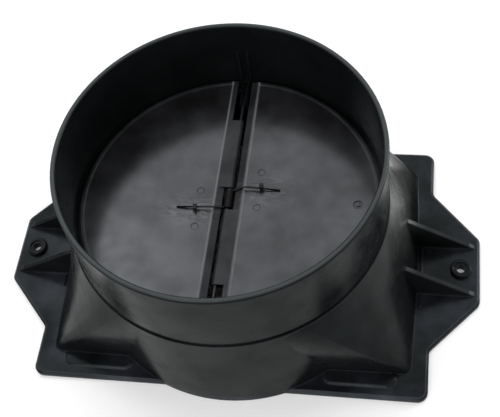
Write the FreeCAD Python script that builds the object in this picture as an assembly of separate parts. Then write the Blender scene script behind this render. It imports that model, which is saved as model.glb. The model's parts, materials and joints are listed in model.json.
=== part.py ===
"""Duct backdraft damper: a moulded housing with two sprung half-moon flaps on one hinge pin.

The origin is the middle of the base's underside. X runs through the two screw ears, Y along the
hinge pin and Z up through the round duct collar. All sizes are millimetres and degrees.
"""
import FreeCAD, Part
import math
import os

from FreeCAD import Vector

# Round duct collar
COLLAR_R = 75.0             # outside of the collar, a nominal 150 mm duct
HEIGHT = 100.0              # underside of the base to the rim
WALL = 2.4                  # moulded wall
RIM_CHAMFER = 0.7           # bevel of the rim's two edges

# Groove round the collar and the drafted body below it
GROOVE_Z = 58.8             # lower edge of the groove
GROOVE_WIDTH = 0.8
GROOVE_DEPTH = 0.45
BODY_STEP = 0.7             # body radius beyond the collar, just under the groove
BODY_DRAFT = 1.2            # growth of the body radius from the groove down to the base

# Square-to-round transition
FOOT_X = 91.0               # half length of the rectangular foot
FOOT_Y = 58.0               # half width of the rectangular foot
FOOT_CORNER_R = 3.4
RIDGE_AZIMUTH = 53.0        # where the corner ridges meet the collar
RIDGE_SPREAD = 4.0          # half angle of the rounded ridge there
TRANSITION_INSET = 0.25     # upper ring of the transition, inside the body's skin

# Base plate and its screw ears
PLATE_X = 97.0              # half length without the ears
PLATE_Y = 71.0              # half width
PLATE_T = 3.0
PLATE_CORNER_R = 5.0
PLATE_EDGE_BEVEL = 1.2
EAR_REACH = 24.0            # ear beyond the plate's end
EAR_ROOT_HALF = 45.0        # half width where the ear leaves the plate
EAR_TIP_HALF = 18.4         # half width of the ear's straight tip
EAR_TIP_R = 4.5
EAR_ROOT_R = 4.0
BOSS_FROM_TIP = 9.5         # screw centre to the ear's tip
BOSS_R = 5.2
BOSS_RISE = 2.2
BOSS_BEVEL = 0.6
BOSS_DISH_R = 3.5           # shallow counterbore for the screw head
BOSS_DISH_DEPTH = 0.9
SCREW_HOLE_R = 2.25
RIB_Y = 13.5                # gusset ribs, either side of the screw
RIB_T = 2.5
RIB_TOP_Z = 26.0            # where a rib leaves the transition
RIB_TIP_GAP = 3.0           # rib end to the ear's tip
RIB_TIP_RISE = 0.6
BEAD_FROM_END = 5.0         # bead line across the ear's root, from the plate's end
BEAD_HALF_LENGTH = 22.0
BEAD_WIDTH = 1.0
BEAD_RISE = 0.7
PAD_INNER_X = 47.0          # raised pads along the plate's long edges
PAD_OUTER_X = 82.0
PAD_EDGE_GAP = 5.0          # pad to the plate's edge
PAD_END_R = 4.5
PAD_RISE = 1.0
PAD_BEVEL = 0.9

# Flap seat inside the collar
SEAT_LAP = 4.0              # flap edge beyond the seat's opening
SEAT_Z = 57.95              # face that the flaps close on
SEAT_T = 2.4
SEAT_CLEARANCE = 0.05

# Flaps
FLAP_EDGE_GAP = 1.6         # flap edge to the collar's inside
FLAP_T = 2.0
FLAP_BEAD_WIDTH = 1.5       # raised bead along the curved edge
FLAP_BEAD_RISE = 0.8
STRIP_HALF = 6.2            # half width of the raised strip along the hinge
STRIP_SLOPE = 0.8           # width of the strip's slanted outer side
AXIS_DROP = 0.8             # pin axis below the panel's face
PIN_R = 1.0
PIN_END_GAP = 2.6           # pin end to the collar's inside
PIN_CHAMFER = 0.3
BORE_CLEARANCE = 0.05       # barrel on the pin
BARREL_WALL = 0.6
LUG_WINDOW = 10.0           # barrel's outer end to the lug
SPRING_SLOT_HALF = 6.3      # half length of the gap for the spring's coil
NARROW_EDGE = 2.9           # hinge axis to the edge that faces the other flap's barrel
NOTCH_EDGE = 4.0            # hinge axis to the strip's edge beside a lug
STRIP_FALL_RUN = 3.0        # the strip falls gently towards that edge
STRIP_FALL = 1.1
EJECTOR_X = 14.0            # ejector pin marks
EJECTOR_SPACING = 20.0
EJECTOR_R = 1.7
EJECTOR_DEPTH = 0.15
GATE_FROM_EDGE = 10.0       # moulding gate mark, from the flap's edge
GATE_R = 2.2
GATE_PIP_R = 0.9
GATE_DEPTH = 0.4

# Pin lugs on the collar's inside
LUG_REACH = 16.6            # lug tip to the collar's inside
LUG_HALF = 2.2
LUG_DROP = 3.0              # lug tip below the pin axis
LUG_BASE_DROP = 12.0        # lug root below the pin axis
LUG_CLEARANCE = 0.03        # pin in its seat
LUG_THROAT_HALF = 0.85      # snap-in slot above the pin
GUIDE_HALF_SPACING = 2.3    # two guide ribs on the wall above each lug
GUIDE_WIDTH = 1.0
GUIDE_RISE = 1.0
GUIDE_LENGTH = 22.0

# Torsion spring
WIRE_R = 0.4
COIL_R = 1.9                # axis to the middle of the wire
COIL_PITCH = 1.9
COIL_TURNS = 5
ARM_RISE = 7.5              # angle at which an arm leaves the coil
ARM_BEND_X = 7.5            # hinge axis to the arm's bend
ARM_TIP_X = 24.0
ARM_TIP_Y = 5.8
ARM_TIP_GAP = 0.05          # wire to the panel at the tip
ARM_BEND_R = 3.0
HOOK_X = 15.0               # hook that keeps the arm on its flap
HOOK_LENGTH = 1.8
HOOK_T = 1.2
HOOK_RISE = 3.0
HOOK_CLEARANCE = 0.25
WIRE_SIDES = 6              # flats that stand for the wire's round section

# Places that follow from the sizes above
INNER_R = COLLAR_R - WALL
FLAP_R = INNER_R - FLAP_EDGE_GAP
SEAT_R = FLAP_R - SEAT_LAP
GATE_X = FLAP_R - GATE_FROM_EDGE
LUG_TIP_Y = INNER_R - LUG_REACH
BARREL_END_Y = LUG_TIP_Y - LUG_WINDOW
BODY_TOP_R = COLLAR_R + BODY_STEP
BODY_FOOT_R = BODY_TOP_R + BODY_DRAFT
SKIN_RING_R = BODY_TOP_R - TRANSITION_INSET
SEAT_UNDERSIDE = SEAT_Z - SEAT_T
EAR_TIP_X = PLATE_X + EAR_REACH
SCREW_X = EAR_TIP_X - BOSS_FROM_TIP
FLAP_BOTTOM = SEAT_Z + SEAT_CLEARANCE
FLAP_TOP = FLAP_BOTTOM + FLAP_T
AXIS_Z = FLAP_TOP - AXIS_DROP
BORE_R = PIN_R + BORE_CLEARANCE
BARREL_R = BORE_R + BARREL_WALL
STRIP_TOP = AXIS_Z + BARREL_R
PIN_HALF = INNER_R - PIN_END_GAP
OVERLAP = 1.0               # how far a cutting or joining solid runs past a face
MIRROR_ANGLES = (0, 180)

Z_AXIS = Vector(0, 0, 1)
ORIGIN = Vector(0, 0, 0)


def block(low, high):
    """Box between two corners."""
    size = Vector(*high) - Vector(*low)
    return Part.makeBox(size.x, size.y, size.z, Vector(*low))


def plate_between(points, normal_shift):
    """Flat outline through the points, thickened by a vector."""
    wire = Part.makePolygon([Vector(*point) for point in points + points[:1]])
    return Part.Face(wire).extrude(Vector(*normal_shift))


def turned(shape, degrees):
    """Copy of a shape turned about the vertical axis."""
    copy = shape.copy()
    copy.rotate(ORIGIN, Z_AXIS, degrees)
    return copy


def both_ends(shape):
    """The shape and its half-turn partner."""
    return [turned(shape, angle) for angle in MIRROR_ANGLES]


def polar(radius, degrees, z):
    """Point on a level circle."""
    angle = math.radians(degrees)
    return Vector(radius * math.cos(angle), radius * math.sin(angle), z)


def level_arc(radius, start, end, z):
    """Arc of a level circle about the vertical axis."""
    middle = (start + end) / 2
    return Part.Arc(polar(radius, start, z), polar(radius, middle, z), polar(radius, end, z)).toShape()


def ring_wire(radius, z):
    """Circle in eight arcs: four sides, and four short ones at the corner ridges."""
    edges = []
    for ridge in (RIDGE_AZIMUTH, 180 - RIDGE_AZIMUTH, 180 + RIDGE_AZIMUTH, 360 - RIDGE_AZIMUTH):
        before = edges[-1][1] if edges else RIDGE_SPREAD - RIDGE_AZIMUTH
        edges.append((before, ridge - RIDGE_SPREAD))
        edges.append((ridge - RIDGE_SPREAD, ridge + RIDGE_SPREAD))
    return Part.Wire([level_arc(radius, start, end, z) for start, end in edges])


def rounded_outline(corners, z):
    """Closed outline with a round at each corner, given as (x, y, radius)."""
    edges = []
    ends = []
    for index, (x, y, radius) in enumerate(corners):
        here = Vector(x, y, z)
        back = (Vector(*corners[index - 1][:2], z) - here).normalize()
        ahead = (Vector(*corners[(index + 1) % len(corners)][:2], z) - here).normalize()
        half_angle = back.getAngle(ahead) / 2
        reach = radius / math.tan(half_angle)
        inward = (back + ahead).normalize()
        centre = here + inward * (radius / math.sin(half_angle))
        start = here + back * reach
        end = here + ahead * reach
        ends.append((start, centre - inward * radius, end))
    for index, (start, middle, end) in enumerate(ends):
        edges.append(Part.LineSegment(ends[index - 1][2], start).toShape())
        edges.append(Part.Arc(start, middle, end).toShape())
    return Part.Wire(edges)


def foot_wire(inset, z):
    """Rounded rectangle of the foot, starting with its right-hand side."""
    x = FOOT_X - inset
    y = FOOT_Y - inset
    radius = FOOT_CORNER_R - inset
    return rounded_outline([(x, y, radius), (-x, y, radius), (-x, -y, radius), (x, -y, radius)], z)


def transition(inset, ring_r, ring_z):
    """Solid whose ruled sides turn the foot's rectangle on the base into the circle."""
    foot = foot_wire(inset, 0)
    ring = ring_wire(ring_r, ring_z)
    sides = [Part.makeRuledSurface(low, high) for low, high in zip(foot.OrderedEdges, ring.OrderedEdges)]
    return Part.makeSolid(Part.makeShell(sides + [Part.Face(foot), Part.Face(ring)]))


def side_x(z):
    """Half length of the transition's outside at a height, through the middle of its ends."""
    return FOOT_X + (SKIN_RING_R - FOOT_X) * z / GROOVE_Z


def revolved(profile):
    """Solid of revolution of an outline given as (radius, z)."""
    points = [Vector(radius, 0, z) for radius, z in profile]
    face = Part.Face(Part.makePolygon(points + points[:1]))
    return face.revolve(ORIGIN, Z_AXIS, 360)


def round_body():
    """Solid outside of the collar, its groove and the drafted body below."""
    groove_top = GROOVE_Z + GROOVE_WIDTH
    return revolved([
        (0, 0), (BODY_FOOT_R, 0), (BODY_TOP_R, GROOVE_Z), (COLLAR_R - GROOVE_DEPTH, GROOVE_Z),
        (COLLAR_R - GROOVE_DEPTH, groove_top), (COLLAR_R, groove_top), (COLLAR_R, HEIGHT), (0, HEIGHT),
    ])


def air_passage():
    """Hollow of the collar, the seat opening and the drafted body."""
    return revolved([
        (0, -OVERLAP), (BODY_FOOT_R - WALL, -OVERLAP), (BODY_FOOT_R - WALL, 0),
        (INNER_R, SEAT_UNDERSIDE), (SEAT_R, SEAT_UNDERSIDE), (SEAT_R, SEAT_Z),
        (INNER_R, SEAT_Z), (INNER_R, HEIGHT + OVERLAP), (0, HEIGHT + OVERLAP),
    ])


def base_plate():
    """Base plate with its two screw ears, bevelled along the upper edge."""
    outline = rounded_outline([
        (PLATE_X, PLATE_Y, PLATE_CORNER_R), (-PLATE_X, PLATE_Y, PLATE_CORNER_R),
        (-PLATE_X, EAR_ROOT_HALF, EAR_ROOT_R), (-EAR_TIP_X, EAR_TIP_HALF, EAR_TIP_R),
        (-EAR_TIP_X, -EAR_TIP_HALF, EAR_TIP_R), (-PLATE_X, -EAR_ROOT_HALF, EAR_ROOT_R),
        (-PLATE_X, -PLATE_Y, PLATE_CORNER_R), (PLATE_X, -PLATE_Y, PLATE_CORNER_R),
        (PLATE_X, -EAR_ROOT_HALF, EAR_ROOT_R), (EAR_TIP_X, -EAR_TIP_HALF, EAR_TIP_R),
        (EAR_TIP_X, EAR_TIP_HALF, EAR_TIP_R), (PLATE_X, EAR_ROOT_HALF, EAR_ROOT_R),
    ], 0)
    plate = Part.Face(outline).extrude(Vector(0, 0, PLATE_T))
    upper_edges = [edge for edge in plate.Edges if edge.BoundBox.ZMin > PLATE_T / 2]
    return plate.makeChamfer(PLATE_EDGE_BEVEL, upper_edges)


def ear_ribs():
    """Triangular gussets from the transition down to the right-hand ear's tip."""
    tip = EAR_TIP_X - RIB_TIP_GAP
    buried = PLATE_T / 2
    ribs = []
    for y in (-RIB_Y, RIB_Y):
        near = y - RIB_T / 2
        outline = [
            (INNER_R, near, buried), (tip, near, buried), (tip, near, PLATE_T + RIB_TIP_RISE),
            (side_x(RIB_TOP_Z), near, RIB_TOP_Z), (INNER_R, near, RIB_TOP_Z),
        ]
        ribs.append(plate_between(outline, (0, RIB_T, 0)))
    return ribs


def ear_boss():
    """Screw boss on the right-hand ear, without its hole."""
    boss = Part.makeCylinder(BOSS_R, BOSS_RISE + PLATE_T / 2, Vector(SCREW_X, 0, PLATE_T / 2))
    return boss.makeChamfer(BOSS_BEVEL, [edge for edge in boss.Edges if edge.BoundBox.ZMin > PLATE_T])


def ear_bead():
    """Bead line across the root of the right-hand ear."""
    middle = PLATE_X - BEAD_FROM_END
    low = (middle - BEAD_WIDTH / 2, -BEAD_HALF_LENGTH, PLATE_T / 2)
    high = (middle + BEAD_WIDTH / 2, BEAD_HALF_LENGTH, PLATE_T + BEAD_RISE)
    return block(low, high)


def screw_hole():
    """Screw hole and counterbore of the right-hand ear, as a cutting solid."""
    top = PLATE_T + BOSS_RISE
    hole = Part.makeCylinder(SCREW_HOLE_R, top + 2 * OVERLAP, Vector(SCREW_X, 0, -OVERLAP))
    dish = Part.makeCylinder(BOSS_DISH_R, BOSS_DISH_DEPTH + OVERLAP, Vector(SCREW_X, 0, top - BOSS_DISH_DEPTH))
    return hole.fuse(dish)


def edge_pad(x_sign):
    """Raised pad on the plate beside the foot, with rounded corners and a wide bevel."""
    outer_y = PLATE_Y - PAD_EDGE_GAP
    inner_y = FOOT_Y - WALL / 2
    x_low, x_high = sorted((x_sign * PAD_INNER_X, x_sign * PAD_OUTER_X))
    corners = [(x_high, outer_y), (x_low, outer_y), (x_low, inner_y), (x_high, inner_y)]
    outline = rounded_outline([(x, y, PAD_END_R) for x, y in corners], PLATE_T / 2)
    pad = Part.Face(outline).extrude(Vector(0, 0, PLATE_T / 2 + PAD_RISE))
    return pad.makeChamfer(PAD_BEVEL, [edge for edge in pad.Edges if edge.BoundBox.ZMin > PLATE_T])


def pin_lug():
    """Lug on the far side of the collar that holds one end of the pin in a snap-in slot."""
    root_y = INNER_R + WALL / 2
    base = AXIS_Z - LUG_BASE_DROP
    top = AXIS_Z + LUG_HALF
    side = plate_between([
        (-LUG_HALF, LUG_TIP_Y, AXIS_Z - LUG_DROP), (-LUG_HALF, SEAT_R, base), (-LUG_HALF, root_y, base),
        (-LUG_HALF, root_y, top), (-LUG_HALF, LUG_TIP_Y, top),
    ], (2 * LUG_HALF, 0, 0))
    length = root_y - LUG_TIP_Y
    crown = Part.makeCylinder(LUG_HALF, length, Vector(0, LUG_TIP_Y, AXIS_Z), Vector(0, 1, 0))
    column = block((-LUG_HALF, LUG_TIP_Y, base), (LUG_HALF, root_y, AXIS_Z))
    return side.common(column.fuse(crown))


def pin_slot():
    """Seat of the pin in the far lug and the throat above it, as a cutting solid."""
    start = LUG_TIP_Y - OVERLAP
    length = PIN_HALF + OVERLAP / 2 - start
    seat = Part.makeCylinder(PIN_R + LUG_CLEARANCE, length, Vector(0, start, AXIS_Z), Vector(0, 1, 0))
    throat = block(
        (-LUG_THROAT_HALF, start, AXIS_Z), (LUG_THROAT_HALF, start + length, AXIS_Z + LUG_HALF + OVERLAP))
    return seat.fuse(throat)


def guide_ribs():
    """Two upright ribs on the far wall that lead the pin down to its lug."""
    ribs = []
    for x in (-GUIDE_HALF_SPACING, GUIDE_HALF_SPACING):
        low = (x - GUIDE_WIDTH / 2, INNER_R - GUIDE_RISE, AXIS_Z)
        high = (x + GUIDE_WIDTH / 2, INNER_R + WALL / 2, AXIS_Z + GUIDE_LENGTH)
        ribs.append(block(low, high))
    return ribs


def housing():
    """The one-piece moulding: base, transition, collar, seat and pin lugs."""
    skin = transition(0, SKIN_RING_R, GROOVE_Z)
    hollow = transition(WALL, INNER_R - TRANSITION_INSET, SEAT_UNDERSIDE)
    ear_pieces = ear_ribs() + [ear_boss(), ear_bead()]
    outside = [skin, base_plate()]
    for piece in ear_pieces + [edge_pad(1), edge_pad(-1)]:
        outside.extend(both_ends(piece))
    shell = round_body().fuse(outside)
    shell = shell.cut([air_passage(), hollow] + both_ends(screw_hole()))
    rim_edges = [edge for edge in shell.Edges if edge.BoundBox.ZMin > HEIGHT - OVERLAP / 2]
    shell = shell.makeChamfer(RIM_CHAMFER, rim_edges)
    inside = []
    for piece in [pin_lug()] + guide_ribs():
        inside.extend(both_ends(piece))
    return shell.fuse(inside).cut(both_ends(pin_slot())).removeSplitter()


def coil_half_length():
    """Half the coil's length along the pin, at the middle of the wire."""
    return COIL_PITCH * (COIL_TURNS - 2 * ARM_RISE / 360) / 2


def arm_points():
    """Left arm's middle line: where it leaves the coil, its bend and its tip."""
    rise = math.radians(ARM_RISE)
    leave = Vector(COIL_R * math.sin(rise), -coil_half_length(), AXIS_Z + COIL_R * math.cos(rise))
    run = ARM_BEND_X + leave.x
    lead = COIL_PITCH / (2 * math.pi * COIL_R)
    bend = leave + Vector(-run, -run / math.cos(rise) * lead, run * math.tan(rise))
    tip = Vector(-ARM_TIP_X, -ARM_TIP_Y, FLAP_TOP + WIRE_R + ARM_TIP_GAP)
    return leave, bend, tip


def arm_at(x):
    """Point of the left arm's outer run at a distance from the hinge axis."""
    _, bend, tip = arm_points()
    share = (x - ARM_BEND_X) / (ARM_TIP_X - ARM_BEND_X)
    return bend + (tip - bend) * share


def arm_edges():
    """Left arm's middle line from its tip to the coil, with a round bend."""
    leave, bend, tip = arm_points()
    out = (tip - bend).normalize()
    back = (leave - bend).normalize()
    half_angle = out.getAngle(back) / 2
    reach = ARM_BEND_R / math.tan(half_angle)
    inward = (out + back).normalize()
    middle = bend + inward * (ARM_BEND_R / math.sin(half_angle) - ARM_BEND_R)
    return [
        Part.LineSegment(tip, bend + out * reach).toShape(),
        Part.Arc(bend + out * reach, middle, bend + back * reach).toShape(),
        Part.LineSegment(bend + back * reach, leave).toShape(),
    ]


def coil_edge():
    """Helix round the pin, from the left arm's end to the right arm's."""
    length = 2 * coil_half_length()
    helix = Part.makeHelix(COIL_PITCH, length, COIL_R)
    helix.rotate(ORIGIN, Vector(1, 0, 0), -90)
    helix.rotate(ORIGIN, Vector(0, 1, 0), ARM_RISE - 90)
    helix.translate(Vector(0, -length / 2, AXIS_Z))
    return helix.Edges[0]


def wire_section(centre, direction):
    """Many-sided section of the wire, square to its run."""
    across = direction.cross(Vector(0, 1, 0)).normalize()
    level = direction.cross(across).normalize()
    corners = []
    for index in range(WIRE_SIDES + 1):
        angle = 2 * math.pi * index / WIRE_SIDES
        corners.append(centre + across * (WIRE_R * math.cos(angle)) + level * (WIRE_R * math.sin(angle)))
    return Part.makePolygon(corners)


def torsion_spring():
    """One wire: an arm for each flap and the coil between them."""
    left = arm_edges()
    right = [turned(edge, 180) for edge in left]
    path = Part.Wire(Part.__sortEdges__(left + [coil_edge()] + right))
    sweep = Part.BRepOffsetAPI.MakePipeShell(path)
    sweep.setBiNormalMode(Vector(0, 1, 0))
    sweep.add(wire_section(arm_points()[2], left[0].tangentAt(left[0].FirstParameter)))
    sweep.build()
    sweep.makeSolid()
    return sweep.shape()


def hinge_pin():
    """Plain steel pin with chamfered ends."""
    pin = Part.makeCylinder(PIN_R, 2 * PIN_HALF, Vector(0, -PIN_HALF, AXIS_Z), Vector(0, 1, 0))
    rims = [edge for edge in pin.Edges if edge.Closed]
    return pin.makeChamfer(PIN_CHAMFER, rims)


def flap_disc(radius, bottom, top):
    """Upright cylinder that trims a flap's pieces to the round edge."""
    return Part.makeCylinder(radius, top - bottom, Vector(0, 0, bottom))


def left_half(shape):
    """The part of a shape on the left flap's panel."""
    reach = FLAP_R + OVERLAP
    return shape.common(block((-reach, -reach, 0), (-STRIP_HALF, reach, HEIGHT)))


def hinge_strip():
    """Raised strip of the left flap: plain in front, with the barrel behind and a notch at the lug."""
    far = FLAP_R + OVERLAP
    inner = STRIP_HALF + OVERLAP
    plain = plate_between([
        (-inner, -far, FLAP_BOTTOM), (-NARROW_EDGE, -far, FLAP_BOTTOM),
        (-NARROW_EDGE, -far, STRIP_TOP - STRIP_FALL), (-NARROW_EDGE - STRIP_FALL_RUN, -far, STRIP_TOP),
        (-inner, -far, STRIP_TOP),
    ], (0, far + SPRING_SLOT_HALF, 0))
    notched = block((-inner, BARREL_END_Y, FLAP_BOTTOM), (-NOTCH_EDGE, far, STRIP_TOP))
    strip = plain.fuse([barrel_band(inner), notched])
    strip = strip.common(flap_disc(FLAP_R, FLAP_BOTTOM - BARREL_R, STRIP_TOP + OVERLAP))
    slope_foot = STRIP_HALF + STRIP_SLOPE
    return strip.common(plate_between([
        (-slope_foot, -far, 0), (-slope_foot, -far, FLAP_TOP), (-STRIP_HALF, -far, STRIP_TOP),
        (far, -far, STRIP_TOP), (far, -far, 0),
    ], (0, 2 * far, 0)))


def barrel_band(inner):
    """Band whose flat top runs over into the barrel round the pin."""
    drop = AXIS_Z - FLAP_BOTTOM
    meet = math.sqrt(BARREL_R ** 2 - drop ** 2)
    y = SPRING_SLOT_HALF
    corner = Vector(-inner, y, FLAP_BOTTOM)
    lower = Vector(-meet, y, FLAP_BOTTOM)
    side = Vector(BARREL_R, y, AXIS_Z)
    upper = Vector(0, y, STRIP_TOP)
    end = Vector(-inner, y, STRIP_TOP)
    outline = Part.Wire([
        Part.LineSegment(corner, lower).toShape(), Part.Arc(lower, side, upper).toShape(),
        Part.LineSegment(upper, end).toShape(), Part.LineSegment(end, corner).toShape(),
    ])
    length = BARREL_END_Y - SPRING_SLOT_HALF
    band = Part.Face(outline).extrude(Vector(0, length, 0))
    bore = Part.makeCylinder(
        BORE_R, length + 2 * OVERLAP, Vector(0, SPRING_SLOT_HALF - OVERLAP, AXIS_Z), Vector(0, 1, 0))
    return band.cut(bore)


def arm_hook():
    """Hook over the left flap's spring arm."""
    wire = arm_at(HOOK_X)
    clear = WIRE_R + HOOK_CLEARANCE
    x_low = wire.x - HOOK_LENGTH / 2
    x_high = wire.x + HOOK_LENGTH / 2
    top = FLAP_TOP + HOOK_RISE
    post = block((x_low, wire.y - clear - HOOK_T, FLAP_BOTTOM + FLAP_T / 2), (x_high, wire.y - clear, top))
    lip = block((x_low, wire.y - clear - HOOK_T / 2, wire.z + clear), (x_high, wire.y + clear, top))
    return post.fuse(lip)


def round_recess(x, y, radius, depth):
    """Shallow round mark in the panel's face, as a cutting solid."""
    return Part.makeCylinder(radius, depth + OVERLAP, Vector(x, y, FLAP_TOP - depth))


def gate_mark():
    """Ring-shaped moulding gate mark near the left flap's outer edge, as a cutting solid."""
    return round_recess(-GATE_X, 0, GATE_R, GATE_DEPTH).cut(round_recess(-GATE_X, 0, GATE_PIP_R, GATE_DEPTH))


def flap(with_gate):
    """Left flap: panel, beaded edge, hinge strip with half the barrel, and the spring's hook."""
    panel = left_half(flap_disc(FLAP_R, FLAP_BOTTOM, FLAP_TOP))
    ring = flap_disc(FLAP_R, FLAP_TOP - FLAP_T / 2, FLAP_TOP + FLAP_BEAD_RISE)
    ring = ring.cut(flap_disc(FLAP_R - FLAP_BEAD_WIDTH, FLAP_BOTTOM, HEIGHT))
    body = panel.fuse([left_half(ring), hinge_strip(), arm_hook()])
    hook_y = arm_at(HOOK_X).y
    marks = [
        round_recess(-EJECTOR_X, hook_y + side * EJECTOR_SPACING / 2, EJECTOR_R, EJECTOR_DEPTH)
        for side in (-1, 1)
    ]
    if with_gate:
        marks.append(gate_mark())
    return body.cut(marks).removeSplitter()


def main():
    """Build every piece and write its file."""
    os.makedirs("parts", exist_ok=True)
    pieces = {
        "housing": housing(),
        "flap_left": flap(False),
        "flap_right": turned(flap(True), 180),
        "hinge_pin": hinge_pin(),
        "torsion_spring": torsion_spring(),
    }
    for name, shape in pieces.items():
        print(name, shape.isValid(), len(shape.Solids), round(shape.Volume, 1))
        shape.exportStep(f"parts/{name}.step")


main()
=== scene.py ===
"""Looks of the duct backdraft damper: materials, the spring's wire, studio light and camera."""
import json
import math

import bmesh
import bpy
from mathutils import Matrix, Vector


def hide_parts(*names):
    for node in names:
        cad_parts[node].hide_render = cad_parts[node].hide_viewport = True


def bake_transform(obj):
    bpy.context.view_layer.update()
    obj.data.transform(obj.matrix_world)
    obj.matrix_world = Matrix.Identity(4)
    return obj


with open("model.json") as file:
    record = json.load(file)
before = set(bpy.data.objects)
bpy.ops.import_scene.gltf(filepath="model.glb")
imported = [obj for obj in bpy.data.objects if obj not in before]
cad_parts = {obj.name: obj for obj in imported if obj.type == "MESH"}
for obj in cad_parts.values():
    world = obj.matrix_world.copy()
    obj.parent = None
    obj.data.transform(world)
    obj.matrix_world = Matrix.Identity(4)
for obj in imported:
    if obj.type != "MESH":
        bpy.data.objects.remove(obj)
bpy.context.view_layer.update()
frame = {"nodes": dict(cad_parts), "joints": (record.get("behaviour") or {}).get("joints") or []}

MM = 0.001
HOUSING = "housing"
WHITE = (1.0, 1.0, 1.0, 1.0)

# Photograph's view, worked out from the collar, the base and the ears
CAMERA_AT = Vector((82.45, -247.14, 447.73)) * MM
CAMERA_RIGHT = Vector((0.9869, 0.1198, -0.1073))
CAMERA_UP = Vector((-0.0442, 0.8433, 0.5354))
CAMERA_LENS = 71.17
CAMERA_NEAREST = 10.0 * MM
SENSOR_WIDTH = 36.0

# Softboxes: place, width, depth and power, all aimed at the flaps
LAMP_TARGET = Vector((0.0, 0.0, 0.06))
LAMPS = {
    "key": (Vector((-0.18, 0.58, 1.0)), 0.95, 0.60, 3.9),
    "left_fill": (Vector((-0.45, 0.42, 1.0)), 0.35, 0.35, 1.05),
    "front_edge": (Vector((-0.15, -0.95, 0.40)), 0.60, 0.30, 4.5),
    "right_edge": (Vector((0.95, 0.53, 0.25)), 0.30, 0.50, 6.0),
}
WORLD_SEEN_STRENGTH = 1.0
WORLD_DIFFUSE_STRENGTH = 0.75

# Floor, a little below the part. Its glow grows with the distance, so that no edge of it shows
FLOOR_SIZE = 6.0
FLOOR_DROP = 0.3 * MM
FLOOR_COLOR = (0.85, 0.85, 0.85, 1.0)
FLOOR_GLOW = 0.16
FLOOR_FAR_GLOW = 0.42
FLOOR_NEAR = 0.45
FLOOR_FAR = 1.3

# Inside of the base, where the floor has no glow
INLET_HALF_X = 89.5 * MM
INLET_HALF_Y = 56.5 * MM
INLET_R = 76.0 * MM

# In the materials below a noise is given as scale, detail and roughness, a bump as strength and depth,
# and a range as its two ends

# Edges of both mouldings, rounded in the shading and painted lighter as a painted highlight where they
# face the open air
EDGE_SAMPLES = 6
EDGE_LIKENESS = (0.9, 0.995)
EDGE_HIGHLIGHT_COLOR = (0.085, 0.092, 0.105, 1.0)
CORNER_REACH = 3.0 * MM
CORNER_OPEN = (0.7, 0.95)
PLASTIC_IOR = 1.5

# Housing: black satin moulding
HOUSING_DARK = (0.003, 0.0036, 0.0038, 1.0)
HOUSING_LIGHT = (0.0066, 0.0076, 0.0079, 1.0)
HOUSING_TINT = (0.85, 0.98, 1.0, 1.0)
HOUSING_CLOUD = (26.0, 4.0, 0.55)
HOUSING_CLOUD_RANGE = (0.35, 0.68)
HOUSING_PATCH = (110.0, 3.0, 0.6)
HOUSING_PATCH_RANGE = (0.3, 0.7)
HOUSING_SHEEN = (70.0, 4.0, 0.5)
HOUSING_SHEEN_RANGE = (0.38, 0.62)
HOUSING_GRAIN = (2400.0, 2.0, 0.5)
HOUSING_SHINE = (0.046, 0.078)
HOUSING_ROUGH = (0.17, 0.30)
HOUSING_EDGE_R = 0.9 * MM
HOUSING_GRAIN_BUMP = (0.10, 0.12 * MM)
HOUSING_PATCH_BUMP = (0.06, 0.4 * MM)
HOUSING_CLOUD_BUMP = (0.10, 0.8 * MM)

# Housing's edges: painted highlight, strong along the base's outline, faint elsewhere
EDGE_HIGHLIGHT_WEAK = 0.12
OUTLINE_HIGHLIGHT = 0.85
OUTLINE_TOP = 3.3 * MM

# Scuffs and a painted sheen on the base plate's top, lighter and bluish all over it, and the duller
# ribs that stand on its ears
PLATE_TOP = 3.2 * MM
PLATE_FADE = 2.0 * MM
SCUFF_AND_SHEEN_NOISE = (48.0, 5.0, 0.62)
SCUFF_AND_SHEEN_RANGE = (0.40, 0.66)
SCUFF_AND_SHEEN_LEAST = 0.05
SCUFF_AND_SHEEN_COLOR = (0.021, 0.023, 0.030, 1.0)
RIBS_FROM = 83.0 * MM
RIBS_FADE = 6.0 * MM
RIB_SHINE = 0.25

# Painted highlight on the rim's top, and a painted shadow line under its outer edge
COLLAR_R = 75.0 * MM
RIM_TOP = 99.9 * MM
RIM_FADE = 0.5 * MM
RIM_HIGHLIGHT_COLOR = (0.047, 0.053, 0.055, 1.0)
RIM_SHADOW_LINE_Z = 98.7 * MM
RIM_SHADOW_LINE_HALF = 1.1 * MM
RIM_SHADOW_LINE_SHINE = 0.15

# Glossy patch on the body's right side, painted lighter and warm as a painted reflection, with an oval
# smudge, duller and rougher, where less of the painted light shows
GLOSSY_LIT_PATCH_AT = Vector((77.0, 26.0, 40.0)) * MM
GLOSSY_LIT_PATCH_SIZE = Vector((26.0, 48.0, 34.0)) * MM
GLOSSY_SHINE = 4.0
SIDE_PATCH_LIGHT_COLOR = (0.072, 0.075, 0.068, 1.0)
SIDE_PATCH_LIGHT_SHARE = 0.7
SIDE_PATCH_LIGHT_AT_SMUDGE = 0.35
SMUDGE_AT = Vector((76.2, 30.4, 38.8)) * MM
SMUDGE_SIZE = Vector((9.0, 5.5, 8.0)) * MM
SMUDGE_RANGE = (0.0, 0.6)
SMUDGE_SHINE = 0.55
SMUDGE_ROUGH = 0.3

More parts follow.
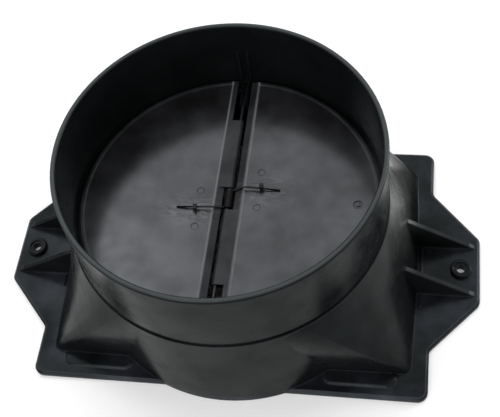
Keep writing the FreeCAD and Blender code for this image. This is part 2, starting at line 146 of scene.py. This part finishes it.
# Flaps: smooth black mouldings with a mottled mirror
FLAP_DARK = (0.009, 0.0092, 0.010, 1.0)
FLAP_LIGHT = (0.022, 0.0225, 0.0245, 1.0)
FLAP_TINT = (0.9, 0.94, 1.0, 1.0)
FLAP_CLOUD = (32.0, 4.0, 0.5)
FLAP_MOTTLE = (95.0, 4.0, 0.5)
FLAP_MOTTLE_RANGE = (0.4, 0.6)
FLAP_PATCH = (150.0, 3.0, 0.6)
FLAP_PATCH_RANGE = (0.3, 0.7)
FLAP_GRAIN = (3000.0, 2.0, 0.5)
FLAP_SHINE = (0.285, 0.375)
FLAP_ROUGH = (0.17, 0.24)
FLAP_EDGE_R = 0.4 * MM
FLAP_EDGE_HIGHLIGHT_SHARE = 0.5
FLAP_GRAIN_BUMP = (0.06, 0.1 * MM)
FLAP_WAVE_BUMP = (0.12, 0.8 * MM)
FLAP_WAVE_SHARE = 0.5
FLAP_FLOW_BUMP = (0.4, 1.2 * MM)

# Flaps' hinge strips: duller on top, with a painted highlight line along the side
STRIP_HALF = 6.2 * MM
STRIP_SLOPE = 0.8 * MM
SIDE_HIGHLIGHT_AT = 6.7 * MM
SIDE_HIGHLIGHT_HALF = 0.8 * MM
SIDE_HIGHLIGHT_SHARE = 0.8
SIDE_HIGHLIGHT_COLOR = (0.30, 0.305, 0.315, 1.0)

# Flaps' hooks, with a sink and flow marks round each of them, the flow marks bumped and painted
# lighter as painted glints
HOOK_AT = Vector((15.0, 5.9, 60.0)) * MM
HOOK_DULL_FROM = 61.3 * MM
HOOK_DULL_FADE = 0.4 * MM
SINK_SIZE = Vector((22.0, 13.0, 13.0)) * MM
STREAK_SCALE = Vector((90.0, 230.0, 1.0))
STREAK_DETAIL = 3.0
STREAK_DISTORTION = 2.2
STREAK_RANGE = (0.5, 0.64)
STREAK_GLINT_SHARE = 0.35
STREAK_GLINT_COLOR = (0.17, 0.173, 0.18, 1.0)

# Flaps' round marks: two ejector marks each, and a gate mark on the right flap
EJECTOR_X = 14.0 * MM
EJECTOR_Y = 10.0 * MM
EJECTOR_R = 1.7 * MM
GATE_AT = Vector((61.0, 0.0, 60.0)) * MM
GATE_R = 1.6 * MM
RING_HALF = 0.5 * MM

# How dull the flaps' marks and hooks are, where 1 is the strip, and what dullness does
RING_DULL = 0.6
HOOK_DULL = 1.8
DULL_ROUGH = 0.3
DULL_MOST = 2.0
DULL_LEAST_SHINE = 0.4

# Steel of the pin and the spring
STEEL_COLOR = (0.03, 0.03, 0.032, 1.0)
PIN_ROUGH = 0.45
SPRING_ROUGH = 0.5
STEEL_GRAIN = (900.0, 3.0, 0.5)
STEEL_GRAIN_RANGE = (0.3, 0.7)
STEEL_ROUGH_SPREAD = (0.8, 1.2)
STEEL_BUMP = (0.1, 0.1 * MM)

# Spring wire, with the coil's turns wound close. Its legs leave the coil at a knee, so that with both
# flaps up they pass between the two strips, and follow the solid's path from the bend to the tip
WIRE_R = 0.4 * MM
COIL_R = 1.9 * MM
COIL_PITCH = 1.9 * MM
COIL_TURNS = 5
CLOSE_TURNS = 10
ARM_RISE = math.radians(7.5)
ARM_BEND_X = 7.5 * MM
ARM_BEND_R = 3.0 * MM
KNEE_ANGLE = math.radians(45.0)
KNEE_RUN = 0.5 * MM
KNEE_R = 0.8 * MM
ARM_TIP = Vector((-24.0, -5.8, 60.45)) * MM
AXIS_Z = frame["joints"][0]["pos_m"][2]
COIL_STEPS = 36
BEND_STEPS = 6
WIRE_SIDES = 14


class Nodes:
    """Short way to add and link the nodes of one tree."""

    def __init__(self, tree):
        self.tree = tree
        tree.nodes.clear()

    def add(self, kind, inputs=None, **settings):
        node = self.tree.nodes.new(kind)
        for name, value in settings.items():
            setattr(node, name, value)
        for name, value in (inputs or {}).items():
            self.put(node.inputs[name], value)
        return node

    def put(self, socket, value):
        if isinstance(value, bpy.types.NodeSocket):
            self.tree.links.new(value, socket)
        else:
            socket.default_value = value

    def place(self):
        """Rest place of a point, in the part's frame."""
        return self.add("ShaderNodeTexCoord").outputs["Object"]

    def noise(self, vector, recipe):
        scale, detail, roughness = recipe
        node = self.add("ShaderNodeTexNoise", {
            "Vector": vector, "Scale": scale, "Detail": detail, "Roughness": roughness})
        return node.outputs["Fac"]

    def span(self, value, ends, out_low, out_high, smooth=False):
        """Value carried over from a range to another, and held at the ends."""
        node = self.add("ShaderNodeMapRange", {
            "Value": value, "From Min": ends[0], "From Max": ends[1],
            "To Min": out_low, "To Max": out_high})
        node.interpolation_type = "SMOOTHSTEP" if smooth else "LINEAR"
        return node.outputs["Result"]

    def math(self, operation, first, second=0.0):
        node = self.add("ShaderNodeMath", {0: first, 1: second}, operation=operation)
        return node.outputs[0]

    def times(self, first, second):
        return self.math("MULTIPLY", first, second)

    def average(self, first, second):
        return self.math("ADD", self.times(first, 0.5), self.times(second, 0.5))

    def scaled(self, value, mask, at_mask):
        """Value as it is where the mask is 0, and multiplied by a number where the mask is 1."""
        return self.times(value, self.span(mask, (0.0, 1.0), 1.0, at_mask))

    def vector(self, operation, first, second, output="Vector"):
        node = self.add("ShaderNodeVectorMath", {0: first, 1: second}, operation=operation)
        return node.outputs[output]

    def length(self, vector):
        return self.vector("LENGTH", vector, vector, "Value")

    def axes(self, vector):
        return self.add("ShaderNodeSeparateXYZ", {0: vector}).outputs

    def near(self, value, middle, half_width, smooth=False):
        """1 where a value is at its middle, fading to 0 within a half width."""
        off = self.math("ABSOLUTE", self.math("SUBTRACT", value, middle))
        return self.span(off, (0.0, half_width), 1.0, 0.0, smooth)

    def spot(self, at, centre, size):
        """1 at a centre, fading smoothly to 0 at the given size along each axis."""
        offset = self.vector("DIVIDE", self.vector("SUBTRACT", at, centre), size)
        return self.span(self.length(offset), (0.0, 1.0), 1.0, 0.0, True)

    def ring(self, at, centre, radius):
        """1 at a radius from a centre, fading to 0 within the ring's half width."""
        return self.near(self.length(self.vector("SUBTRACT", at, centre)), radius, RING_HALF)

    def mix_color(self, factor, first, second):
        node = self.add("ShaderNodeMix", data_type="RGBA")
        self.put(node.inputs["Factor"], factor)
        self.put(node.inputs["A"], first)
        self.put(node.inputs["B"], second)
        return node.outputs["Result"]

    def bump(self, height, recipe, normal=None):
        strength, depth = recipe
        inputs = {"Height": height, "Strength": strength, "Distance": depth}
        if normal is not None:
            inputs["Normal"] = normal
        return self.add("ShaderNodeBump", inputs).outputs["Normal"]

    def soft_edges(self, radius):
        """Normals rounded over a radius at the moulding's edges, and 1 on its outer edges."""
        bevel = self.add("ShaderNodeBevel", {"Radius": radius}, samples=EDGE_SAMPLES)
        rounded = bevel.outputs["Normal"]
        plain = self.add("ShaderNodeNewGeometry").outputs["Normal"]
        likeness = self.vector("DOT_PRODUCT", rounded, plain, "Value")
        edge = self.span(likeness, EDGE_LIKENESS, 1.0, 0.0)
        around = self.add(
            "ShaderNodeAmbientOcclusion", {"Distance": CORNER_REACH}, samples=EDGE_SAMPLES)
        open_air = self.span(around.outputs["AO"], CORNER_OPEN, 0.0, 1.0)
        return rounded, self.times(edge, open_air)

    def finish(self, shader):
        self.add("ShaderNodeOutputMaterial", {"Surface": shader.outputs[0]})


def new_material(name):
    material = bpy.data.materials.new(name)
    material.use_nodes = True
    return material, Nodes(material.node_tree)


def housing_finish():
    """Black satin moulding with a cloudy tone, fine grain, painted highlights on its edges and the
    rim's top, scuffs with a painted sheen on the plate, a painted shadow line under the rim and a
    glossy patch painted lighter.
    """
    material, n = new_material("housing_plastic")
    at = n.place()
    axes = n.axes(at)
    height = axes["Z"]
    cloud = n.noise(at, HOUSING_CLOUD)
    patch = n.noise(at, HOUSING_PATCH)
    grain = n.noise(at, HOUSING_GRAIN)
    sheen = n.average(cloud, n.noise(at, HOUSING_SHEEN))
    smudge = n.spot(at, SMUDGE_AT, SMUDGE_SIZE)
    glossy_lit_patch = n.spot(at, GLOSSY_LIT_PATCH_AT, GLOSSY_LIT_PATCH_SIZE)
    rounded, edge = n.soft_edges(HOUSING_EDGE_R)

    color = n.mix_color(n.span(cloud, HOUSING_CLOUD_RANGE, 0.0, 1.0), HOUSING_DARK, HOUSING_LIGHT)
    # Plate top painted lighter and bluish: scuffs, and a painted sheen that covers all of it
    on_plate = n.span(height, (PLATE_TOP, PLATE_TOP + PLATE_FADE), 1.0, 0.0)
    scuff_and_sheen = n.times(on_plate, n.span(n.noise(at, SCUFF_AND_SHEEN_NOISE), SCUFF_AND_SHEEN_RANGE, SCUFF_AND_SHEEN_LEAST, 1.0))
    color = n.mix_color(scuff_and_sheen, color, SCUFF_AND_SHEEN_COLOR)
    # Painted reflection: the right side's glossy patch painted lighter and warm, less so on the smudge
    side_patch_light = n.times(glossy_lit_patch, n.span(smudge, SMUDGE_RANGE, SIDE_PATCH_LIGHT_SHARE, SIDE_PATCH_LIGHT_AT_SMUDGE))
    color = n.mix_color(side_patch_light, color, SIDE_PATCH_LIGHT_COLOR)
    # Painted highlight: outer edges painted lighter, strongest on the base's outline
    outline = n.math("LESS_THAN", height, OUTLINE_TOP)
    highlight_share = n.span(outline, (0.0, 1.0), EDGE_HIGHLIGHT_WEAK, OUTLINE_HIGHLIGHT)
    color = n.mix_color(n.times(edge, highlight_share), color, EDGE_HIGHLIGHT_COLOR)
    # Painted highlight: the rim's top painted lighter
    rim_highlight = n.span(height, (RIM_TOP - RIM_FADE, RIM_TOP), 0.0, 1.0)
    color = n.mix_color(rim_highlight, color, RIM_HIGHLIGHT_COLOR)

    # Painted shadow line under the rim's outer edge, made by cutting the reflection there
    from_axis = n.length(n.vector("MULTIPLY", at, (1, 1, 0)))
    outside = n.math("GREATER_THAN", from_axis, COLLAR_R - RIM_FADE)
    rim_shadow_line = n.times(outside, n.near(height, RIM_SHADOW_LINE_Z, RIM_SHADOW_LINE_HALF, True))
    on_ears = n.span(n.math("ABSOLUTE", axes["X"]), (RIBS_FROM, RIBS_FROM + RIBS_FADE), 0.0, 1.0)
    ribs = n.times(on_ears, n.math("GREATER_THAN", height, PLATE_TOP + PLATE_FADE))
    shine = n.span(sheen, HOUSING_SHEEN_RANGE, *HOUSING_SHINE)
    shine = n.scaled(shine, ribs, RIB_SHINE)
    shine = n.scaled(shine, glossy_lit_patch, GLOSSY_SHINE)
    shine = n.times(shine, n.span(smudge, SMUDGE_RANGE, 1.0, SMUDGE_SHINE))
    shine = n.scaled(shine, rim_shadow_line, RIM_SHADOW_LINE_SHINE)

    gloss = n.span(patch, HOUSING_PATCH_RANGE, *HOUSING_ROUGH)
    rough = n.math("ADD", gloss, n.times(smudge, SMUDGE_ROUGH))
    normal = n.bump(grain, HOUSING_GRAIN_BUMP, rounded)
    normal = n.bump(patch, HOUSING_PATCH_BUMP, normal)
    normal = n.bump(cloud, HOUSING_CLOUD_BUMP, normal)
    n.finish(n.add("ShaderNodeBsdfPrincipled", {
        "Base Color": color, "Roughness": rough, "Normal": normal, "IOR": PLASTIC_IOR,
        "Specular IOR Level": shine, "Specular Tint": HOUSING_TINT}))
    return material


def flap_finish(name, hook_sign):
    """Smooth black moulding that mirrors the wire: wavy panel, sink round the hook with painted glints
    on its flow marks, duller strip with a painted highlight beside it, and painted highlights on the
    edges.
    """
    material, n = new_material(name)
    at = n.place()
    axes = n.axes(at)
    across = n.math("ABSOLUTE", axes["X"])
    strip = n.span(across, (STRIP_HALF, STRIP_HALF + STRIP_SLOPE), 1.0, 0.0)
    side = n.near(across, SIDE_HIGHLIGHT_AT, SIDE_HIGHLIGHT_HALF, True)
    raised = n.span(axes["Z"], (HOOK_DULL_FROM, HOOK_DULL_FROM + HOOK_DULL_FADE), 0.0, 1.0)
    rounded, edge = n.soft_edges(FLAP_EDGE_R)
    cloud = n.noise(at, FLAP_CLOUD)
    patch = n.noise(at, FLAP_PATCH)
    grain = n.noise(at, FLAP_GRAIN)
    mottle = n.average(cloud, n.noise(at, FLAP_MOTTLE))
    hook = Vector((HOOK_AT.x * hook_sign, HOOK_AT.y * hook_sign, HOOK_AT.z))
    sink = n.spot(at, hook, SINK_SIZE)
    flow = n.add("ShaderNodeTexNoise", {
        "Vector": n.vector("MULTIPLY", at, STREAK_SCALE), "Scale": 1.0,
        "Detail": STREAK_DETAIL, "Distortion": STREAK_DISTORTION}).outputs["Fac"]
    streak = n.span(flow, STREAK_RANGE, 0.0, 1.0)

    rings = []
    for y in (hook.y - EJECTOR_Y, hook.y + EJECTOR_Y):
        rings.append(n.ring(at, Vector((EJECTOR_X * hook_sign, y, hook.z)), EJECTOR_R))
    if hook_sign > 0:
        rings.append(n.ring(at, GATE_AT, GATE_R))
    pressed = rings[0]
    for ring in rings[1:]:
        pressed = n.math("MAXIMUM", pressed, ring)

    color = n.mix_color(n.span(mottle, FLAP_MOTTLE_RANGE, 0.0, 1.0), FLAP_DARK, FLAP_LIGHT)
    # Painted highlight: light line beside the hinge strip
    color = n.mix_color(n.times(side, SIDE_HIGHLIGHT_SHARE), color, SIDE_HIGHLIGHT_COLOR)
    # Painted glints: flow marks round the hook painted lighter
    color = n.mix_color(n.times(n.times(sink, streak), STREAK_GLINT_SHARE), color, STREAK_GLINT_COLOR)
    # Painted highlight: the flap's outer edges painted lighter
    color = n.mix_color(n.times(edge, FLAP_EDGE_HIGHLIGHT_SHARE), color, EDGE_HIGHLIGHT_COLOR)

    dull = n.math("MAXIMUM", strip, n.times(pressed, RING_DULL))
    dull = n.math("MAXIMUM", dull, n.times(raised, HOOK_DULL))
    gloss = n.span(patch, FLAP_PATCH_RANGE, *FLAP_ROUGH)
    rough = n.math("ADD", gloss, n.times(dull, DULL_ROUGH))
    shine = n.span(mottle, FLAP_MOTTLE_RANGE, *FLAP_SHINE)
    shine = n.times(n.span(dull, (0.0, DULL_MOST), 1.0, DULL_LEAST_SHINE), shine)

    normal = n.bump(grain, FLAP_GRAIN_BUMP, rounded)
    wave = n.math("SUBTRACT", n.times(cloud, FLAP_WAVE_SHARE), sink)
    normal = n.bump(wave, FLAP_WAVE_BUMP, normal)
    normal = n.bump(n.times(sink, flow), FLAP_FLOW_BUMP, normal)
    n.finish(n.add("ShaderNodeBsdfPrincipled", {
        "Base Color": color, "Roughness": rough, "Normal": normal, "IOR": PLASTIC_IOR,
        "Specular IOR Level": shine, "Specular Tint": FLAP_TINT}))
    return material


def dark_steel(name, roughness):
    """Dark steel with a fine, uneven grain."""
    material, n = new_material(name)
    grain = n.noise(n.place(), STEEL_GRAIN)
    low, high = STEEL_ROUGH_SPREAD
    rough = n.span(grain, STEEL_GRAIN_RANGE, roughness * low, roughness * high)
    n.finish(n.add("ShaderNodeBsdfPrincipled", {
        "Base Color": STEEL_COLOR, "Roughness": rough, "Metallic": 1.0,
        "Normal": n.bump(grain, STEEL_BUMP)}))
    return material


def seen_directly(n):
    """1 for rays that show the surroundings: camera, glossy and transmission rays."""
    path = n.add("ShaderNodeLightPath").outputs
    shown = n.math("MAXIMUM", path["Is Camera Ray"], path["Is Glossy Ray"])
    return n.math("MAXIMUM", shown, path["Is Transmission Ray"])


def build_world():
    """White surroundings for the eye and the reflections, softer light on the surfaces."""
    world = bpy.data.worlds.new("studio")
    bpy.context.scene.world = world
    world.use_nodes = True
    n = Nodes(world.node_tree)
    seen = n.add("ShaderNodeBackground", {"Color": WHITE, "Strength": WORLD_SEEN_STRENGTH})
    soft = n.add("ShaderNodeBackground", {"Color": WHITE, "Strength": WORLD_DIFFUSE_STRENGTH})
    both = n.add("ShaderNodeMixShader", {
        0: seen_directly(n), 1: soft.outputs[0], 2: seen.outputs[0]})
    n.add("ShaderNodeOutputWorld", {"Surface": both.outputs[0]})


def build_floor():
    """Pale floor that keeps the part's shadow and doesn't glow inside the base."""
    bpy.ops.mesh.primitive_plane_add(size=FLOOR_SIZE, location=(0, 0, -FLOOR_DROP))
    floor = bpy.context.object
    floor.name = "floor"
    material, n = new_material("pale_floor")
    at = n.place()
    axes = n.axes(at)
    away = n.length(at)
    beyond_x = n.math("GREATER_THAN", n.math("ABSOLUTE", axes["X"]), INLET_HALF_X)
    beyond_y = n.math("GREATER_THAN", n.math("ABSOLUTE", axes["Y"]), INLET_HALF_Y)
    beyond_round = n.math("GREATER_THAN", away, INLET_R)
    outside = n.times(n.math("MAXIMUM", beyond_x, beyond_y), beyond_round)
    strength = n.span(away, (FLOOR_NEAR, FLOOR_FAR), FLOOR_GLOW, FLOOR_FAR_GLOW, True)
    matt = n.add("ShaderNodeBsdfDiffuse", {"Color": FLOOR_COLOR}).outputs[0]
    glow = n.add("ShaderNodeEmission", {"Color": WHITE, "Strength": n.times(outside, strength)})
    lit = n.add("ShaderNodeAddShader", {0: matt, 1: glow.outputs[0]})
    n.finish(n.add("ShaderNodeMixShader", {0: seen_directly(n), 1: matt, 2: lit.outputs[0]}))
    floor.data.materials.append(material)


def build_lamps():
    for name, (place, width, depth, power) in LAMPS.items():
        data = bpy.data.lights.new(name, "AREA")
        data.shape = "RECTANGLE"
        data.size = width
        data.size_y = depth
        data.energy = power
        lamp = bpy.data.objects.new(name, data)
        lamp.location = place
        lamp.rotation_euler = (LAMP_TARGET - place).to_track_quat("-Z", "Y").to_euler()
        bpy.context.scene.collection.objects.link(lamp)


def build_camera():
    data = bpy.data.cameras.new("camera")
    data.lens = CAMERA_LENS
    data.sensor_width = SENSOR_WIDTH
    data.clip_start = CAMERA_NEAREST
    camera = bpy.data.objects.new("camera", data)
    back = CAMERA_RIGHT.cross(CAMERA_UP)
    turn = Matrix((CAMERA_RIGHT, CAMERA_UP, back)).transposed().to_4x4()
    camera.matrix_world = Matrix.Translation(CAMERA_AT) @ turn
    bpy.context.scene.collection.objects.link(camera)
    bpy.context.scene.camera = camera


def dress(node, material):
    data = frame["nodes"][node].data
    data.materials.clear()
    data.materials.append(material)


def rounded_bend(before, corner, after, radius):
    """Points of the arc that rounds a corner of the wire."""
    back = (before - corner).normalized()
    ahead = (after - corner).normalized()
    half = back.angle(ahead) / 2
    centre = corner + (back + ahead).normalized() * (radius / math.sin(half))
    start = corner + back * (radius / math.tan(half)) - centre
    axis = back.cross(ahead).normalized()
    sweep = math.pi - 2 * half
    return [
        centre + Matrix.Rotation(-sweep * step / BEND_STEPS, 3, axis) @ start
        for step in range(BEND_STEPS + 1)
    ]


def coil_point(angle, along):
    """Point of the coil's middle line, at an angle from straight up."""
    return Vector((COIL_R * math.sin(angle), along, AXIS_Z + COIL_R * math.cos(angle)))


def left_wire():
    """Middle line of the spring's left half, from the arm's tip to the middle of the coil."""
    half_length = COIL_PITCH * (COIL_TURNS - ARM_RISE / math.pi) / 2
    top = coil_point(ARM_RISE, -half_length)
    run = ARM_BEND_X + top.x
    lead = COIL_PITCH / (2 * math.pi * COIL_R)
    bend = top + Vector((-run, -run / math.cos(ARM_RISE) * lead, run * math.tan(ARM_RISE)))
    leave = coil_point(-KNEE_ANGLE, -half_length)
    knee = leave - Vector((math.cos(KNEE_ANGLE), lead, math.sin(KNEE_ANGLE))) * KNEE_RUN
    points = [ARM_TIP] + rounded_bend(ARM_TIP, bend, knee, ARM_BEND_R)
    points += rounded_bend(bend, knee, leave, KNEE_R)
    steps = int(CLOSE_TURNS * COIL_STEPS / 2)
    turned = math.pi * CLOSE_TURNS + KNEE_ANGLE
    for step in range(1, steps + 1):
        angle = turned * step / steps - KNEE_ANGLE
        points.append(coil_point(angle, -half_length * (1 - step / steps)))
    return points


def wire_mesh(name, points):
    """Round wire along the points, closed at both ends."""
    mesh = bmesh.new()
    rings = []
    side = None
    for index, point in enumerate(points):
        ahead = points[min(index + 1, len(points) - 1)] - points[max(index - 1, 0)]
        ahead.normalize()
        seed = side if side else Vector((0, 0, 1))
        side = (seed - ahead * seed.dot(ahead)).normalized()
        other = ahead.cross(side)
        ring = []
        for step in range(WIRE_SIDES):
            angle = 2 * math.pi * step / WIRE_SIDES
            out = side * math.cos(angle) + other * math.sin(angle)
            ring.append(mesh.verts.new(point + out * WIRE_R))
        rings.append(ring)
    for first, second in zip(rings, rings[1:]):
        for step in range(WIRE_SIDES):
            after = (step + 1) % WIRE_SIDES
            mesh.faces.new((first[step], first[after], second[after], second[step]))
    mesh.faces.new(list(reversed(rings[0])))
    mesh.faces.new(rings[-1])
    for face in mesh.faces:
        face.smooth = len(face.verts) == 4
    data = bpy.data.meshes.new(name)
    mesh.to_mesh(data)
    mesh.free()
    piece = bpy.data.objects.new(name, data)
    bpy.context.scene.collection.objects.link(piece)
    return piece


def build_spring(material):
    """The spring in two halves, each turning from the housing's coil to its flap's arm."""
    half_turn = Matrix.Rotation(math.pi, 3, "Z")
    left = left_wire()
    halves = {"left": (left, -1), "right": ([half_turn @ point for point in left], 1)}
    for side, (points, sign) in halves.items():
        piece = wire_mesh("spring_" + side, points)
        piece.data.materials.append(material)
        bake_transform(piece)
        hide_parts("torsion_spring")


bpy.context.scene.view_settings.view_transform = "Standard"
dress(HOUSING, housing_finish())
dress("flap_left", flap_finish("flap_plastic_left", -1))
dress("flap_right", flap_finish("flap_plastic_right", 1))
dress("hinge_pin", dark_steel("pin_steel", PIN_ROUGH))
build_spring(dark_steel("spring_steel", SPRING_ROUGH))
build_world()
build_floor()
build_lamps()
build_camera()
